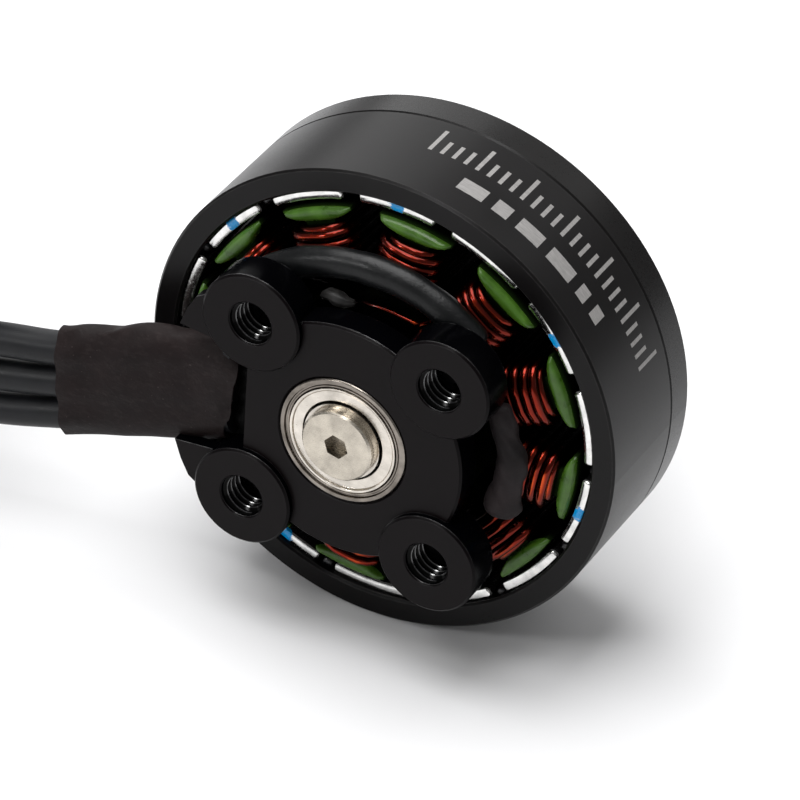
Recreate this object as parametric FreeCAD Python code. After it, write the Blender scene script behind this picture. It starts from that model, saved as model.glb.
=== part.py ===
import FreeCAD, Part
import math
import os

# Brushless outrunner motor with a 28 mm stator, to be screwed down on its four mounting bosses.
# Origin: centre of the mounting bolt circle, in the plane of the four boss faces.
# +Z: the motor's axis, from the mounting base towards the propeller shaft.
# -X: the side on which the three phase leads leave. Millimetres throughout.

Vec = FreeCAD.Vector
Z_AXIS = Vec(0, 0, 1)

# ---- mounting base ----
BOLT_CIRCLE = 19.0                  # M3 pattern, four holes
BOSS_R = 3.5
BASE_TOP = 2.5                      # upper side of the base plate and of the boss barrels
PLATE_FACE = 0.5                    # the plate lies this far behind the boss faces
PLATE_R = 8.5
TAP_R = 1.5                         # M3 nominal size
TAP_CHAMFER = 0.1
EDGE = 0.15                         # broken edges of the turned parts
SLOT_X = -7.0                       # inner wall of the lead slot
SLOT_HALF = 4.0
SLOT_CORNER_R = 0.9
EAR_TOP = 1.4
# flat guide beside the lead slot, the one on the +Y side
EAR_CORNERS = [(-9.0, 4.2), (-12.0, 4.5), (-11.5, 5.85), (-10.9, 6.95), (-9.9, 7.6), (-8.2, 6.0)]
TUBE_R = 5.6                        # bearing tube through the stator
SEAT_R = 6.6                        # collar that the stator stands on
TUBE_TOP = 14.0
TUBE_WAIST_R = 3.8                  # bore between the two bearings

# ---- bearings, 4 x 9 x 4 mm ----
SHAFT_R = 2.0
BEARING_R = 4.5
BEARING_H = 4.0
LOWER_BEARING_Z = 0.45              # face just proud of the base plate
UPPER_BEARING_Z = TUBE_TOP - BEARING_H
INNER_RING_R = 2.7
OUTER_RING_R = 3.9                  # bore of the outer ring
BALL_PITCH_R = 3.3
BALL_R = 0.62
BALLS = 8
RACE_PLAY = 0.03                    # running clearance between a ball and its grooves
RING_CHAMFER = 0.1
CAGE_WALL = 0.25
CAGE_REACH = (-0.3, 1.1)            # up and down from the middle of the balls
SHIELD_GAP = 0.15                   # between a shield and the inner ring
SHIELD = 0.2                        # thickness of a shield, and how far it is set in

# ---- stator ----
TEETH = 12
TOOTH_PHASE = 6.5                   # degrees
STATOR_R = 14.0
STATOR_Z = (5.8, 13.0)
HUB_R = 7.8
TOOTH_HALF = 1.1
SHOE_HALF = 10.75                   # degrees
SHOE_TIP = 0.3                     # radial thickness at the tip of a shoe
SHOE_ROOT_R = 13.0
COIL_X = (8.9, 12.6)                # radial reach of a coil
COIL_BUILD = 1.05                   # thickness of the winding on each side of its tooth
COIL_GAP = 0.05
COIL_END = 1.2                      # how far an end turn stands off the core
COIL_CORNER_R = 0.9

# ---- rotor ----
MAGNETS = 14
MAGNET_PHASE = -12.6                # degrees
MAGNET_HALF = 10.4                  # degrees
MAGNET_R = (14.35, 15.05)
MAGNET_Z = (5.85, 13.1)
BELL_R = 16.7
RIM_Z = 5.5
PARTING_Z = 13.6                    # joint between the flux ring and the bell
SHOULDER_Z = 15.9
SPIGOT_R = 14.3
SPIGOT_Z = 13.2
CEILING_Z = 14.9                    # underside of the spokes
BELL_TOP = 18.8
SPOKES = 6
WINDOW_R = (6.6, 13.4)
WINDOW_HALF = 21.0                  # degrees
WINDOW_SWEEP = 12.0                 # degrees the outer end leads the inner end
WINDOW_PHASE = 24.0
WINDOW_CORNER_R = 1.0
RING_BREAK = 0.12                   # fine edges on both sides of the parting joint
SHOULDER_CHAMFER = 0.35
SPOKE_OUTER = (14.6, 17.1)          # radius and height of the spokes' top, outer and inner end
SPOKE_INNER = (6.2, 18.0)
BELL_FACE_R = 5.6
BELL_FOOT_R = (3.3, 3.6)            # foot of the hub, at the spacer and at the ceiling
SPACER_TOP = 14.4
PROP_R = 2.5                        # M5 propeller thread
KNURL_R = 2.75                      # pressed length of the shaft in the bell's hub
KNURL_TOP = 18.4
SHAFT_TOP = 33.0
SHAFT_CHAMFER = 0.4
SCREW_R = 1.25
SCREW_LENGTH = 4.2                  # inside the shaft
SCREW_HOLE = 5.0
SCREW_HEAD_R = 2.5
SCREW_FACE = -0.3                   # the head stands proud of the boss faces
SCREW_EDGE = 0.12
WASHER_Z = 0.15
SOCKET_AF = 1.5
SOCKET_DEPTH = 0.8
SOCKET_TURN = 12                    # degrees

# ---- leads ----
LEAD_R = 1.15
LEAD_LENGTH = 150.0                 # each, from the motor to the end of the insulation
LANE = 2.46                         # sideways step from one lead to the next
# route of the middle lead, out of the slot and along the surface the motor stands on
LEAD_ROUTE = [
    (-8.65, 0.0, 2.35),
    (-10.8, 0.45, 2.35),
    (-14.5, 1.65, 2.05),
    (-19.0, 3.25, 1.7),
    (-26.0, 5.3, 1.25),
    (-33.8, 6.95, 1.25),
]
COIL_CENTRE = (-43.5, -3.83)
COIL_LANE_R = 12.65                 # middle of the turns of the middle lead
COIL_LANE = 2.35                    # lane and turn spacing in the coil
COIL_START = 77.0                   # degrees
COIL_Z = 1.6
TIE = 0.45                          # thickness of the tie round the coil
TIE_WIDTH = 3.5
TIE_ANGLE = 215.0
TIP_R = 0.6
TIP_LENGTH = 5.0
SLEEVE_WALL = 0.15
SLEEVE_X = -21.3                    # outer end of the sleeve

# ---- inner wiring ----
INNER_LEAD_R = 0.95
INNER_LEAD_Z = 3.5
INNER_LEAD_BEND = 11.3
INNER_LEAD_SPAN = (-52, -135)       # degrees
INNER_LEAD_TAIL = (5.0, 35)         # radius and angle of the bend at its end
JOINT_SLEEVE = [(9.6, -4.2), (9.75, -0.7), (10.75, 3.0)]


def polar(radius, degrees, z=0.0):
    a = math.radians(degrees)
    return Vec(radius * math.cos(a), radius * math.sin(a), z)


def disc(radius, z0, z1, centre=Vec(0, 0, 0)):
    return Part.makeCylinder(radius, z1 - z0, Vec(centre.x, centre.y, z0))


def ring(outer, inner, z0, z1):
    return disc(outer, z0, z1).cut(disc(inner, z0 - 1, z1 + 1))


def lathe(outline, centre=Vec(0, 0, 0)):
    """Solid of revolution about a vertical axis, from (radius, z) corners."""
    points = [centre + Vec(r, 0, z) for r, z in outline]
    face = Part.Face(Part.makePolygon(points + points[:1]))
    return face.revolve(centre, Z_AXIS, 360)


def prism(points, z0, z1):
    face = Part.Face(Part.makePolygon([Vec(p.x, p.y, z0) for p in points + points[:1]]))
    return face.extrude(Vec(0, 0, z1 - z0))


def turned(shape, degrees):
    copy = shape.copy()
    copy.rotate(Vec(0, 0, 0), Z_AXIS, degrees)
    return copy


def arc_edge(radius, start, end, z=0.0):
    ends = (start, (start + end) / 2, end)
    return Part.Arc(*[polar(radius, a, z) for a in ends]).toShape()


def sector(outer, inner, half, z0, z1, sweep=0.0):
    """Piece of a ring between two radii; sweep turns its outer end against its inner end."""
    edges = [
        arc_edge(outer, sweep - half, sweep + half, z0),
        Part.LineSegment(polar(outer, sweep + half, z0), polar(inner, half, z0)).toShape(),
        arc_edge(inner, half, -half, z0),
        Part.LineSegment(polar(inner, -half, z0), polar(outer, sweep - half, z0)).toShape(),
    ]
    return Part.Face(Part.Wire(edges)).extrude(Vec(0, 0, z1 - z0))


def pipe(path, radius):
    start = path.Edges[0].Curve.value(path.Edges[0].FirstParameter)
    tangent = path.Edges[0].tangentAt(path.Edges[0].FirstParameter)
    profile = Part.Wire(Part.makeCircle(radius, start, tangent))
    return path.makePipeShell([profile], True, False)


def rounded_path(points, name):
    """Straight runs joined by the largest tangent arcs that the runs allow."""
    edges, radii = [], []
    last = points[0]
    for before, corner, after in zip(points, points[1:], points[2:]):
        into, out = corner - before, after - corner
        half = into.getAngle(out) / 2
        trim = 0.45 * min(into.Length, out.Length)
        radii.append(trim / math.tan(half))
        a = corner - into.normalize() * trim
        b = corner + out.normalize() * trim
        bisector = (b - corner) + (a - corner)
        centre_distance = radii[-1] / math.cos(half)
        middle = corner + bisector.normalize() * (centre_distance - radii[-1])
        edges.append(Part.LineSegment(last, a).toShape())
        edges.append(Part.Arc(a, middle, b).toShape())
        last = b
    edges.append(Part.LineSegment(last, points[-1]).toShape())
    print(name, "arc radii", [round(r, 1) for r in radii])
    return Part.Wire(edges)


# ---------------------------------------------------------------- mounting base


def boss_centres():
    return [polar(BOLT_CIRCLE / 2, a) for a in (45, 135, 225, 315)]


def boss(centre):
    r, e = BOSS_R, EDGE
    return lathe([(0, 0), (r - e, 0), (r, e), (r, BASE_TOP), (0, BASE_TOP)], centre)


def tapped_hole(centre):
    c = TAP_CHAMFER
    above = BASE_TOP + 1
    outline = [(0, -1), (TAP_R + c, -1), (TAP_R + c, 0), (TAP_R, c), (TAP_R, above), (0, above)]
    return lathe(outline, centre)


def ear(side):
    """Flat guide beside the lead slot, standing out of a boss on one side."""
    return prism([Vec(x, side * y, 0) for x, y in EAR_CORNERS], PLATE_FACE, EAR_TOP)


def mount_base():
    e = EDGE
    plate = lathe([
        (0, PLATE_FACE), (PLATE_R - e, PLATE_FACE), (PLATE_R, PLATE_FACE + e),
        (PLATE_R, BASE_TOP), (SEAT_R, BASE_TOP), (SEAT_R, STATOR_Z[0]),
        (TUBE_R, STATOR_Z[0]), (TUBE_R, TUBE_TOP), (0, TUBE_TOP),
    ])
    slot = Part.makeBox(PLATE_R, 2 * SLOT_HALF, 4, Vec(SLOT_X - PLATE_R, -SLOT_HALF, -0.5))
    corners = [c for c in slot.Edges if c.BoundBox.ZLength > 3 and c.BoundBox.XMax > SLOT_X - 1]
    plate = plate.cut(slot.makeFillet(SLOT_CORNER_R, corners))
    shape = plate.multiFuse([boss(c) for c in boss_centres()] + [ear(1), ear(-1)])
    bearing_top = LOWER_BEARING_Z + BEARING_H
    bore = lathe([
        (0, -1), (BEARING_R + e, -1), (BEARING_R + e, PLATE_FACE), (BEARING_R, PLATE_FACE + e),
        (BEARING_R, bearing_top), (TUBE_WAIST_R, bearing_top), (TUBE_WAIST_R, UPPER_BEARING_Z),
        (BEARING_R, UPPER_BEARING_Z), (BEARING_R, TUBE_TOP + 1), (0, TUBE_TOP + 1),
    ])
    for centre in boss_centres():
        shape = shape.cut(tapped_hole(centre))
    return shape.cut(bore).removeSplitter()


# ---------------------------------------------------------------- bearings


def race(mid):
    groove = Part.makeTorus(BALL_PITCH_R, BALL_R + RACE_PLAY)
    groove.translate(Vec(0, 0, mid))
    return groove


def bearing_ring(outer, inner, z, grip):
    """One ring of a bearing, with its race and broken outer corners on the grip side."""
    blank = ring(outer, inner, z, z + BEARING_H)
    radius = outer if grip == "outside" else inner
    edges = [c for c in blank.Edges if abs(c.Length - 2 * math.pi * radius) < 0.01]
    return blank.makeChamfer(RING_CHAMFER, edges).cut(race(z + BEARING_H / 2))


def balls(mid):
    ball = Part.makeSphere(BALL_R)
    return [ball.translated(polar(BALL_PITCH_R, i * 360 / BALLS, mid)) for i in range(BALLS)]


def cage(mid):
    """Crown cage: a ring over the balls, with a pocket round each."""
    low, high = CAGE_REACH
    wall = ring(BALL_PITCH_R + CAGE_WALL, BALL_PITCH_R - CAGE_WALL, mid + low, mid + high)
    pocket = Part.makeSphere(BALL_R + RACE_PLAY)
    for i in range(BALLS):
        wall = wall.cut(pocket.translated(polar(BALL_PITCH_R, i * 360 / BALLS, mid)))
    return wall


def shields(z):
    """Two steel washers, one near each face."""
    inner = INNER_RING_R + SHIELD_GAP
    low = ring(OUTER_RING_R, inner, z + SHIELD, z + 2 * SHIELD)
    high = ring(OUTER_RING_R, inner, z + BEARING_H - 2 * SHIELD, z + BEARING_H - SHIELD)
    return [low, high]


# ---------------------------------------------------------------- stator


def shoe():
    """Pole shoe: an arc outside, thinning towards its two tips."""
    tip_r = STATOR_R - SHOE_TIP
    points = [
        polar(STATOR_R, SHOE_HALF), polar(tip_r, SHOE_HALF), Vec(SHOE_ROOT_R, TOOTH_HALF, 0),
        Vec(SHOE_ROOT_R, -TOOTH_HALF, 0), polar(tip_r, -SHOE_HALF), polar(STATOR_R, -SHOE_HALF),
    ]
    edges = [Part.LineSegment(a, b).toShape() for a, b in zip(points, points[1:])]
    edges.append(arc_edge(STATOR_R, -SHOE_HALF, SHOE_HALF))
    face = Part.Face(Part.Wire(edges))
    face.translate(Vec(0, 0, STATOR_Z[0]))
    return face.extrude(Vec(0, 0, STATOR_Z[1] - STATOR_Z[0]))


def stator_core():
    z0, z1 = STATOR_Z
    overlap = 1.0
    reach = SHOE_ROOT_R - HUB_R + overlap
    web = Part.makeBox(reach + 0.3, 2 * TOOTH_HALF, z1 - z0, Vec(HUB_R - overlap, -TOOTH_HALF, z0))
    tooth = web.fuse(shoe())
    angles = [TOOTH_PHASE + i * 360 / TEETH for i in range(TEETH)]
    core = ring(HUB_R, TUBE_R, z0, z1).multiFuse([turned(tooth, a) for a in angles])
    return core.removeSplitter()


def coil(degrees):
    """One winding: a rounded ring round its tooth."""
    x0, x1 = COIL_X
    inner = TOOTH_HALF + COIL_GAP
    outer = inner + COIL_BUILD
    z0, z1 = STATOR_Z[0] - COIL_END, STATOR_Z[1] + COIL_END
    body = Part.makeBox(x1 - x0, 2 * outer, z1 - z0, Vec(x0, -outer, z0))
    body = body.makeFillet(COIL_CORNER_R, [e for e in body.Edges if e.BoundBox.XLength > 1])
    gap = COIL_GAP
    height = STATOR_Z[1] - STATOR_Z[0] + 2 * gap
    window = Part.makeBox(x1 - x0 + 2, 2 * inner, height, Vec(x0 - 1, -inner, STATOR_Z[0] - gap))
    return turned(body.cut(window), degrees)


# ---------------------------------------------------------------- rotor


def magnet(degrees):
    block = sector(MAGNET_R[1], MAGNET_R[0], MAGNET_HALF, MAGNET_Z[0], MAGNET_Z[1])
    return turned(block, degrees)


def flux_ring():
    r, b, e = BELL_R, MAGNET_R[1], EDGE
    return lathe([
        (b + e, RIM_Z), (r - e, RIM_Z), (r, RIM_Z + e), (r, PARTING_Z - RING_BREAK),
        (r - RING_BREAK, PARTING_Z), (b, PARTING_Z), (b, RIM_Z + e),
    ])


def bell_window():
    hole = sector(WINDOW_R[1], WINDOW_R[0], WINDOW_HALF, CEILING_Z - 2, BELL_TOP + 1, WINDOW_SWEEP)
    upright = [e for e in hole.Edges if e.BoundBox.ZLength > 3]
    return hole.makeFillet(WINDOW_CORNER_R, upright)


def bell():
    r, e, c = BELL_R, RING_BREAK, SHOULDER_CHAMFER
    foot, root = BELL_FOOT_R
    shape = lathe([
        (KNURL_R, SPACER_TOP), (foot, SPACER_TOP), (root, CEILING_Z), (SPIGOT_R, CEILING_Z),
        (SPIGOT_R, SPIGOT_Z), (MAGNET_R[1], SPIGOT_Z), (MAGNET_R[1], PARTING_Z),
        (r - e, PARTING_Z), (r, PARTING_Z + e), (r, SHOULDER_Z), (r - c, SHOULDER_Z + c),
        SPOKE_OUTER, SPOKE_INNER, (BELL_FACE_R, BELL_TOP), (KNURL_R, BELL_TOP),
    ])
    step = 360 / SPOKES
    for i in range(SPOKES):
        shape = shape.cut(turned(bell_window(), WINDOW_PHASE + i * step))
    return shape


def shaft():
    """Ground to the bearings below the bell, and threaded M5 above it."""
    e = SHAFT_CHAMFER
    blank = lathe([
        (0, LOWER_BEARING_Z), (SHAFT_R, LOWER_BEARING_Z), (SHAFT_R, SPACER_TOP),
        (KNURL_R, SPACER_TOP), (KNURL_R, KNURL_TOP), (PROP_R, BELL_TOP),
        (PROP_R, SHAFT_TOP - e), (PROP_R - e, SHAFT_TOP), (0, SHAFT_TOP),
    ])
    return blank.cut(disc(SCREW_R, LOWER_BEARING_Z - 1, LOWER_BEARING_Z + SCREW_HOLE))


def bell_spacer():
    return ring(INNER_RING_R, SHAFT_R, TUBE_TOP, SPACER_TOP)


def shaft_washer():
    return ring(SCREW_HEAD_R - 0.05, SCREW_R, WASHER_Z, LOWER_BEARING_Z)


def shaft_screw():
    """Flat socket-head screw that holds the shaft down on the lower bearing."""
    e = SCREW_EDGE
    end = LOWER_BEARING_Z + SCREW_LENGTH
    head = lathe([
        (0, SCREW_FACE), (SCREW_HEAD_R - e, SCREW_FACE), (SCREW_HEAD_R, SCREW_FACE + e),
        (SCREW_HEAD_R, WASHER_Z), (SCREW_R, WASHER_Z), (SCREW_R, end), (0, end),
    ])
    corner = SOCKET_AF / 2 / math.cos(math.radians(30))
    hexagon = [polar(corner, SOCKET_TURN + 60 * i) for i in range(6)]
    socket = prism(hexagon, SCREW_FACE - 1, SCREW_FACE + SOCKET_DEPTH)
    return head.cut(socket)


# ---------------------------------------------------------------- wiring and leads


def inner_lead():
    """Sleeved phase wire lying on the end turns, from behind one boss to behind the next."""
    z, r = INNER_LEAD_Z, INNER_LEAD_BEND
    start, turn = INNER_LEAD_SPAN
    tight, bend = INNER_LEAD_TAIL
    centre = polar(r - tight, turn, z)
    tail = [centre + polar(tight, a) for a in (turn, turn - bend / 2, turn - bend)]
    path = Part.Wire([arc_edge(r, start, turn, z), Part.Arc(*tail).toShape()])
    return pipe(path, INNER_LEAD_R)


def joint_sleeve():
    """Shrink sleeve over the soldered star point."""
    path = Part.Arc(*[Vec(x, y, INNER_LEAD_Z) for x, y in JOINT_SLEEVE]).toShape()
    return pipe(Part.Wire(path), INNER_LEAD_R)


def lane_route(lane):
    """Route of one lead, with the point where its coil starts as the last one."""
    points = [Vec(x, y + lane * LANE, z) for x, y, z in LEAD_ROUTE]
    centre = Vec(COIL_CENTRE[0], COIL_CENTRE[1], COIL_Z)
    return points + [centre + polar(COIL_LANE_R + lane * COIL_LANE, COIL_START)]


def lead(lane, name):
    return pipe(rounded_path(lane_route(lane), name), LEAD_R)


def coil_end(lane):
    """Angle and height at which a lead's turns end, from its length."""
    route = lane_route(lane)
    straight = sum((b - a).Length for a, b in zip(route, route[1:]))
    turns = (LEAD_LENGTH - straight) / (2 * math.pi * (COIL_LANE_R + lane * COIL_LANE))
    return COIL_START + 360 * turns, COIL_Z + turns * COIL_LANE


def lead_coil():
    """Outer shape of the three leads' turns, put away side by side."""
    inner = COIL_LANE_R - COIL_LANE - LEAD_R
    outer = COIL_LANE_R + COIL_LANE + LEAD_R
    step = inner + 2 * LEAD_R + 0.05
    low = COIL_Z - LEAD_R
    shelf = coil_end(0)[1] + LEAD_R
    top = coil_end(-1)[1] + LEAD_R
    outline = [(inner, low), (outer, low), (outer, shelf), (step, shelf), (step, top), (inner, top)]
    return lathe(outline, Vec(COIL_CENTRE[0], COIL_CENTRE[1], 0))


def coil_tie():
    """Flat band round the coil's turns."""
    inner = COIL_LANE_R - COIL_LANE - LEAD_R
    outer = COIL_LANE_R + COIL_LANE + LEAD_R
    low = COIL_Z - LEAD_R
    top = coil_end(-1)[1] + LEAD_R
    band = Part.makeBox(outer - inner + 2 * TIE, TIE_WIDTH, top - low + 2 * TIE,
                        Vec(inner - TIE, -TIE_WIDTH / 2, low - TIE))
    band = turned(band, TIE_ANGLE)
    band.translate(Vec(COIL_CENTRE[0], COIL_CENTRE[1], 0))
    room = [(inner, low), (outer, low), (outer, top), (inner, top)]
    return band.cut(lathe(room, Vec(COIL_CENTRE[0], COIL_CENTRE[1], 0)))


def lead_tip(lane):
    """Tinned end of a lead's conductor."""
    angle, z = coil_end(lane)
    start = Vec(COIL_CENTRE[0], COIL_CENTRE[1], 0) + polar(COIL_LANE_R + lane * COIL_LANE, angle, z)
    return Part.makeCylinder(TIP_R, TIP_LENGTH, start, polar(1, angle + 90))


def oval(centre, ahead, half_width, half_height):
    """Flat-sided oval section across a route."""
    side = Vec(-ahead.y, ahead.x, 0).normalize()
    up = ahead.cross(side).normalize()
    reach = half_width - half_height
    left, right = centre + side * reach, centre - side * reach
    top, low = up * half_height, up * -half_height
    edges = [
        Part.LineSegment(right + top, left + top).toShape(),
        Part.Arc(left + top, left + side * half_height, left + low).toShape(),
        Part.LineSegment(left + low, right + low).toShape(),
        Part.Arc(right + low, right - side * half_height, right + top).toShape(),
    ]
    return Part.Wire(edges)


def lead_sleeve():
    """Heat-shrink sleeve over the three leads, square to the slot where it starts."""
    route = [Vec(*p) for p in LEAD_ROUTE]
    inside = [p for p in route if p.x > SLEEVE_X]
    last, beyond = inside[-1], route[len(inside)]
    share = (SLEEVE_X - last.x) / (beyond.x - last.x)
    stations = inside + [last + (beyond - last) * share]
    heights = [LEAD_R + SLEEVE_WALL, LEAD_R]
    walls = []
    for height in heights:
        sections = []
        for i, point in enumerate(stations):
            ahead = stations[min(i + 1, len(stations) - 1)] - stations[max(i - 1, 0)]
            if i == 0:
                ahead = Vec(-1, 0, 0)
            spread = LANE * abs(ahead.x) / ahead.Length
            sections.append(oval(point, ahead, spread + height, height))
        walls.append(Part.makeLoft(sections, True, False))
    return walls[0].cut(walls[1])


def save(node, *solids):
    shape = solids[0] if len(solids) == 1 else Part.makeCompound(list(solids))
    for solid in solids:
        if not solid.isValid() or len(solid.Solids) != 1:
            print("PROBLEM", node, "valid", solid.isValid(), "solids", len(solid.Solids))
    shape.exportStep("parts/" + node + ".step")


def save_bearing(name, z):
    mid = z + BEARING_H / 2
    save(name + "_outer_ring", bearing_ring(BEARING_R, OUTER_RING_R, z, "outside"))
    save(name + "_inner_ring", bearing_ring(INNER_RING_R, SHAFT_R, z, "inside"))
    save(name + "_balls", *balls(mid))
    save(name + "_cage", cage(mid))
    save(name + "_shields", *shields(z))


def main():
    os.makedirs("parts", exist_ok=True)
    save("mount_base", mount_base())
    save("stator_core", stator_core())
    for i in range(TEETH):
        save("coil_%02d" % (i + 1), coil(TOOTH_PHASE + i * 360 / TEETH))
    save_bearing("lower_bearing", LOWER_BEARING_Z)
    save_bearing("upper_bearing", UPPER_BEARING_Z)
    save("bell", bell())
    save("flux_ring", flux_ring())
    for i in range(MAGNETS):
        save("magnet_%02d" % (i + 1), magnet(MAGNET_PHASE + i * 360 / MAGNETS))
    save("shaft", shaft())
    save("bell_spacer", bell_spacer())
    save("shaft_washer", shaft_washer())
    save("shaft_screw", shaft_screw())
    save("inner_phase_lead", inner_lead())
    save("joint_sleeve", joint_sleeve())
    lanes = {"lead_a": -1, "lead_b": 0, "lead_c": 1}
    for name, lane in lanes.items():
        save(name, lead(lane, name))
    save("lead_coil", lead_coil())
    save("lead_tips", *[lead_tip(lane) for lane in lanes.values()])
    save("lead_tie", coil_tie())
    save("lead_sleeve", lead_sleeve())


main()
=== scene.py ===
"""Brushless outrunner motor: the looks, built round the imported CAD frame.

Meshes are worked out in millimetres and turned into metres when they become pieces. Materials work in metres.
"""
import math

import bpy
import numpy as np
from mathutils import Matrix, Vector


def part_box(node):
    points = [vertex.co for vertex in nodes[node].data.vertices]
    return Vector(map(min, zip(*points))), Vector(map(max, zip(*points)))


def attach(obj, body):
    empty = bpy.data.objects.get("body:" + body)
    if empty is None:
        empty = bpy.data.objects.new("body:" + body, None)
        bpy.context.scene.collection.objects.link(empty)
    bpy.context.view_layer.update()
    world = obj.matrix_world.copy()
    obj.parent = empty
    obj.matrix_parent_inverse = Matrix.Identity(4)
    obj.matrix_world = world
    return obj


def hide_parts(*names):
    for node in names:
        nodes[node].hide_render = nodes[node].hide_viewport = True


MM = 0.001

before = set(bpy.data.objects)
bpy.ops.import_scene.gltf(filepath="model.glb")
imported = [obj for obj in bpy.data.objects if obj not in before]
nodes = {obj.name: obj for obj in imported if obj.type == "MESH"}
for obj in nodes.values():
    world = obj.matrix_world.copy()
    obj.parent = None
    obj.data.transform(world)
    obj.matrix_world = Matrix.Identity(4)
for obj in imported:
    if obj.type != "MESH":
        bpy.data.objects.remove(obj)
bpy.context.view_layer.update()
scene = bpy.context.scene
random = np.random.default_rng(2807)

# sizes that several pieces and materials share
CORE_Z = (5.8, 13.0)
CORE_MIDDLE = sum(CORE_Z) / 2
MAGNET_Z = (5.85, 13.1)
BOLT_CIRCLE_R = 9.5
BOLT_ANGLES = (45, 135, 225, 315)

# -------------------------- camera
# The view's up is mostly -Y: the motor rests on the side of its ring, and the camera looks up into its base.
CAMERA_AT = (0.13737, -0.21887, -0.27267)
CAMERA_FORWARD = (-0.35895, 0.57595, 0.73447)
CAMERA_UP = (-0.31520, -0.81548, 0.48543)
CAMERA_LENS = 268.35


def placed(name, data):
    """New object in the scene."""
    obj = bpy.data.objects.new(name, data)
    scene.collection.objects.link(obj)
    return obj


def aimed(at, forward, up=None):
    """Matrix of a camera, lamp or panel at a point, looking forward, with up towards the top."""
    forward = Vector(forward).normalized()
    if up is None:
        up = (0, 0, 1) if abs(forward.z) < 0.9 else (0, 1, 0)
    side = forward.cross(Vector(up)).normalized()
    top = side.cross(forward)
    matrix = Matrix((side, top, -forward)).transposed().to_4x4()
    matrix.translation = Vector(at)
    return matrix


camera = placed("camera", bpy.data.cameras.new("camera"))
camera.matrix_world = aimed(CAMERA_AT, CAMERA_FORWARD, CAMERA_UP)
camera.data.lens = CAMERA_LENS
camera.data.sensor_width = 36
camera.data.clip_start = 0.01
camera.data.clip_end = 20
scene.camera = camera


# -------------------------- materials
class Nodes:
    """A material's node tree, built with short calls."""

    def __init__(self, name):
        self.material = bpy.data.materials.new(name)
        self.material.use_nodes = True
        self.tree = self.material.node_tree
        self.shader = self.tree.nodes["Principled BSDF"]
        self.output = self.tree.nodes["Material Output"]
        self.place = self.add("ShaderNodeTexCoord").outputs["Object"]

    def add(self, kind, inputs=None, **settings):
        node = self.tree.nodes.new(kind)
        for key, value in settings.items():
            setattr(node, key, value)
        for key, value in (inputs or {}).items():
            self.put(node.inputs[key], value)
        return node

    def put(self, socket, value):
        if isinstance(value, bpy.types.NodeSocket):
            self.tree.links.new(value, socket)
        else:
            socket.default_value = value

    def set(self, **values):
        """Sets or links the shader's sockets; an underscore stands for a space."""
        for key, value in values.items():
            self.put(self.shader.inputs[key.replace("_", " ")], value)

    def math(self, operation, a, b=0.0):
        return self.add("ShaderNodeMath", {0: a, 1: b}, operation=operation).outputs[0]

    def times(self, a, b):
        return self.math("MULTIPLY", a, b)

    def blend(self, factor, a, b):
        """Number that goes from a to b with the factor."""
        return self.math("ADD", a, self.times(factor, self.math("SUBTRACT", b, a)))

    def noise(self, scale, detail=3.0, roughness=0.55, at=None, distortion=0.0):
        inputs = {"Vector": at or self.place, "Scale": scale, "Detail": detail}
        inputs.update({"Roughness": roughness, "Distortion": distortion})
        return self.add("ShaderNodeTexNoise", inputs).outputs["Fac"]

    def stretched(self, x, y, z):
        return self.add("ShaderNodeMapping", {"Vector": self.place, "Scale": (x, y, z)}).outputs["Vector"]

    def spread(self, value, low, high, start=0.3, end=0.7):
        """Carries a value from start..end to low..high."""
        inputs = {"Value": value, "From Min": start, "From Max": end, "To Min": low, "To Max": high}
        return self.add("ShaderNodeMapRange", inputs).outputs["Result"]

    def ramp(self, value, zero, one):
        """0 at and beyond one value, 1 at and beyond the other, and a slope between them."""
        if zero < one:
            return self.spread(value, 0.0, 1.0, zero, one)
        return self.spread(value, 1.0, 0.0, one, zero)

    def mix(self, factor, a, b):
        node = self.add("ShaderNodeMix", data_type="RGBA")
        self.put(node.inputs[0], factor)
        self.put(node.inputs[6], a)
        self.put(node.inputs[7], b)
        return node.outputs[2]

    def tint(self, cloud, dark, light):
        """Colour between two sRGB ones, led by a noise."""
        return self.mix(self.ramp(cloud, 0.3, 0.7), colour(*dark), colour(*light))

    def bump(self, height, distance, strength, normal=None):
        inputs = {"Height": height, "Distance": distance, "Strength": strength}
        if normal is not None:
            inputs["Normal"] = normal
        return self.add("ShaderNodeBump", inputs).outputs["Normal"]

    def coordinate(self, vector, axis):
        return self.add("ShaderNodeSeparateXYZ", {"Vector": vector}).outputs[axis]

    def rounded_normal(self, radius):
        return self.add("ShaderNodeBevel", {"Radius": radius}, samples=4).outputs["Normal"]

    def edges(self, radius):
        """1 on broken edges and 0 on faces, from how far a rounded normal turns away."""
        normals = {0: self.rounded_normal(radius), 1: self.add("ShaderNodeNewGeometry").outputs["Normal"]}
        agreement = self.add("ShaderNodeVectorMath", normals, operation="DOT_PRODUCT").outputs["Value"]
        return self.ramp(self.math("SUBTRACT", 1.0, agreement), 0.0, 0.15)

    def shade(self):
        """The number that a piece carries on its vertices, for painted light and shade."""
        return self.add("ShaderNodeAttribute", attribute_name="shade").outputs["Fac"]

    def polar(self):
        """Distance from the motor's axis, and height."""
        x, y, z = (self.coordinate(self.place, axis) for axis in range(3))
        squares = self.math("ADD", self.times(x, x), self.times(y, y))
        return self.math("SQRT", squares), z

    def lathed(self):
        """Coordinates that stay the same all round the axis, for turning marks."""
        radius, z = self.polar()
        return self.add("ShaderNodeCombineXYZ", {0: radius, 1: 0.0, 2: z}).outputs[0]

    def from_core_middle(self, z):
        return self.math("ABSOLUTE", self.math("SUBTRACT", z, CORE_MIDDLE * MM))


def colour(r, g, b):
    """Linear colour from an sRGB one of 0 to 255."""
    values = [c / 255 for c in (r, g, b)]
    linear = [c / 12.92 if c <= 0.04045 else ((c + 0.055) / 1.055) ** 2.4 for c in values]
    return (*linear, 1.0)


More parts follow.
